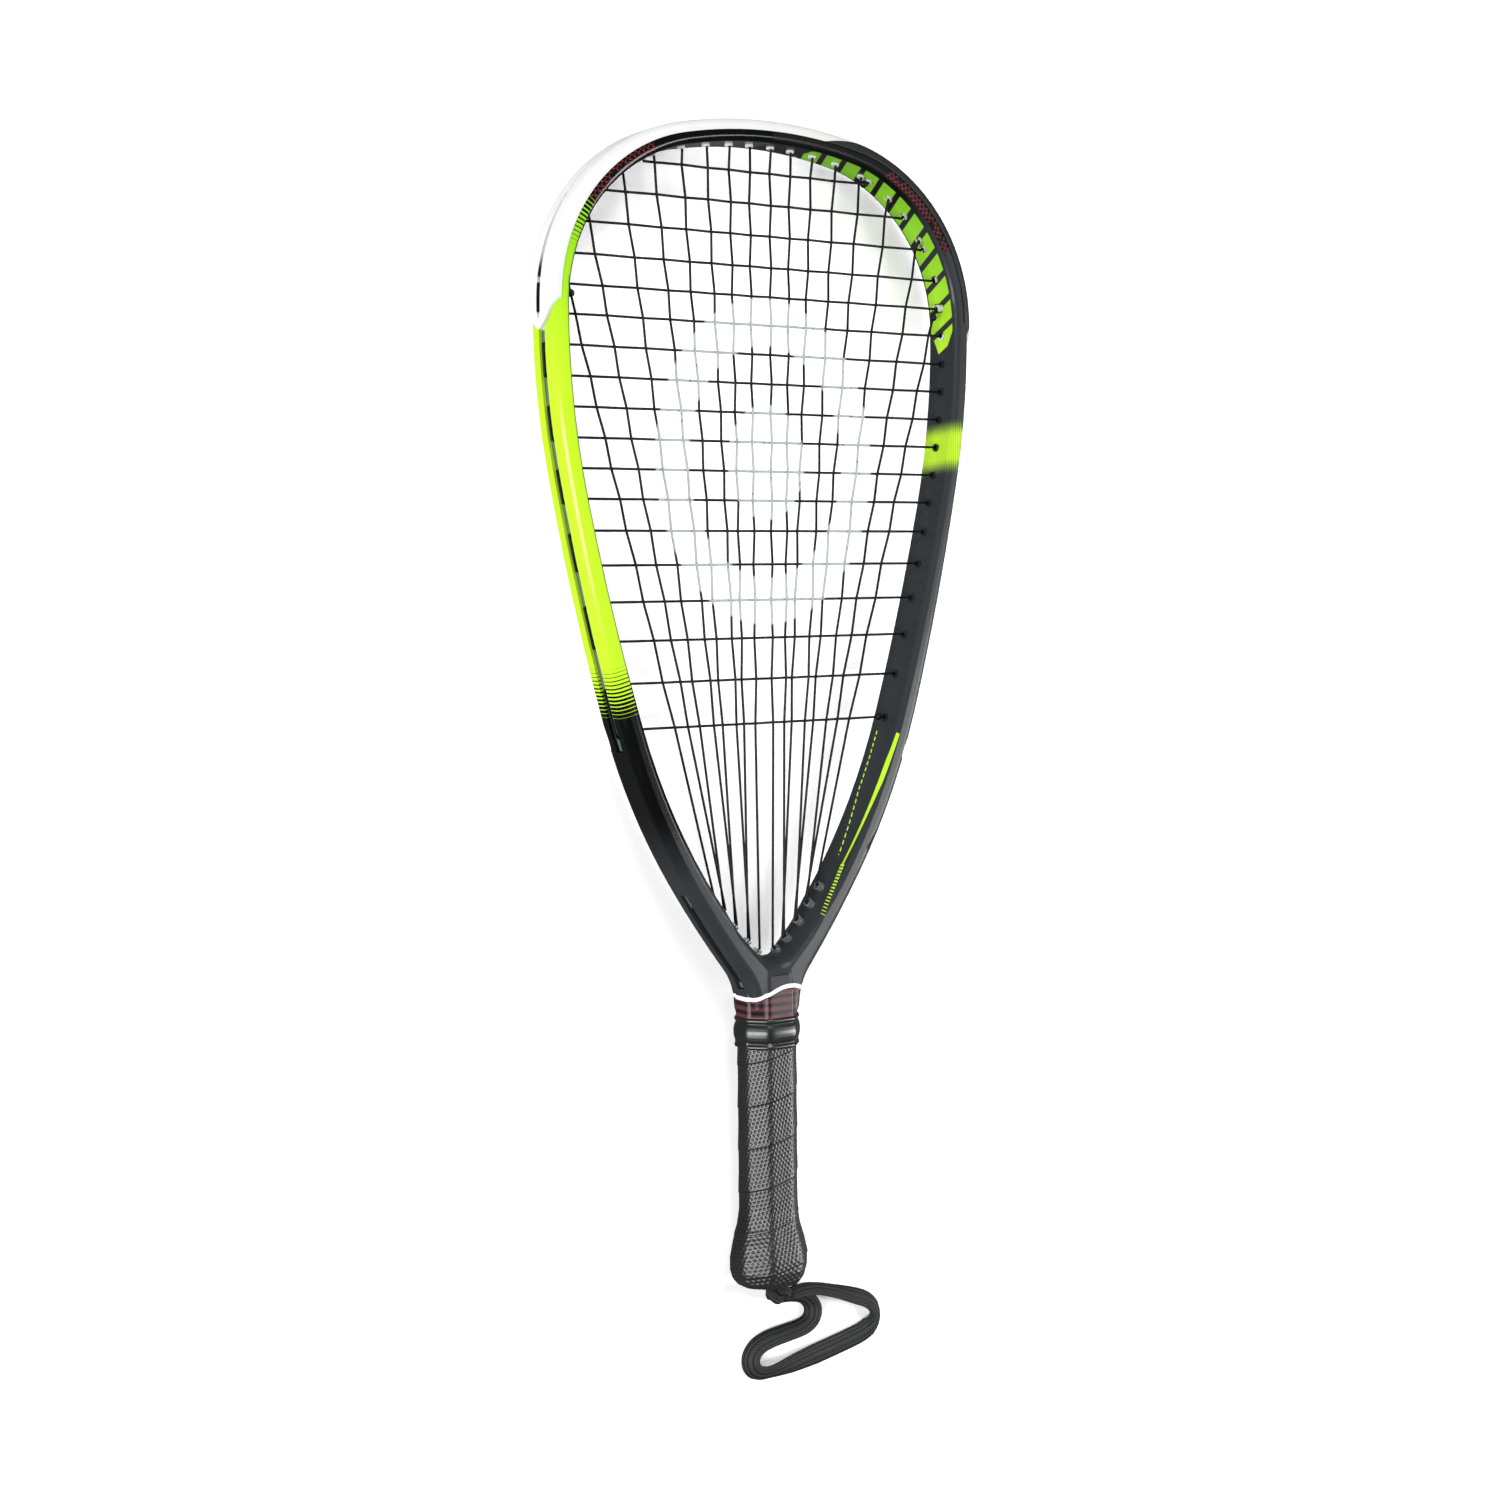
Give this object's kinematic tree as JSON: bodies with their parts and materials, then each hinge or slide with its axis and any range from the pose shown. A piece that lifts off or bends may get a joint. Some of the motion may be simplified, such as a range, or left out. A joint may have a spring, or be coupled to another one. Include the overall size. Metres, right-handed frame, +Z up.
{
  "type": "racket",
  "caption": "Teardrop-headed graphite court racket, strung, with head bumper, grommet strips, wrapped grip and a hinged wrist lanyard.",
  "frame": {"origin": "under the middle of the racket lying flat, on the surface it rests on", "axes": "+Y along the handle towards the head, +X across the head, +Z up, square to the strings"},
  "size_m": [0.2402, 0.6139, 0.034],
  "materials": {
    "frame_lacquer": "satin black lacquer over graphite, lime and red graphics",
    "bumper_white": "smooth white nylon",
    "strip_grey": "satin dark grey nylon",
    "barrel_clear": "clear nylon",
    "string_black": "black multifilament string",
    "pallet_foam": "moulded foam",
    "cap_plastic": "moulded plastic",
    "staple_steel": "plain wire",
    "grip_rubber": "perforated tacky grip",
    "tape_vinyl": "vinyl tape",
    "collar_rubber": "glossy moulded rubber",
    "cord_fabric": "braided black polyester"
  },
  "bodies": {
    "racket": {"frame": "frame_lacquer", "bumper_guard": "bumper_white", "side_grommet_strip_left": "strip_grey", "side_grommet_strip_right": "strip_grey", "throat_grommet_strip_left": "strip_grey", "throat_grommet_strip_right": "strip_grey", "throat_barrels": "barrel_clear", "main_string": "string_black", "cross_string": "string_black", "main_string_knots": "string_black", "cross_string_knots": "string_black", "handle_pallet": "pallet_foam", "butt_cap": "cap_plastic", "butt_cap_staples": "staple_steel", "grip_wrap": "grip_rubber", "finishing_tape": "tape_vinyl", "rubber_collar": "collar_rubber", "lanyard_inner_knot": "cord_fabric", "lanyard_tether": "cord_fabric"},
    "knot": {"lanyard_knot": "cord_fabric"},
    "loop": {"lanyard_loop": "cord_fabric"}
  },
  "joints": [
    {"name": "lanyard_swing", "type": "hinge", "parent": "racket", "child": "knot", "pos_m": [0.005, -0.2867, 0.017], "axis": [0, 0, 1], "range_deg": [-60, 10]},
    {"name": "lanyard_lift", "type": "hinge", "parent": "knot", "child": "loop", "pos_m": [0.005, -0.2867, 0.017], "axis": [-1, 0, 0], "range_deg": [0, 50]}
  ]
}
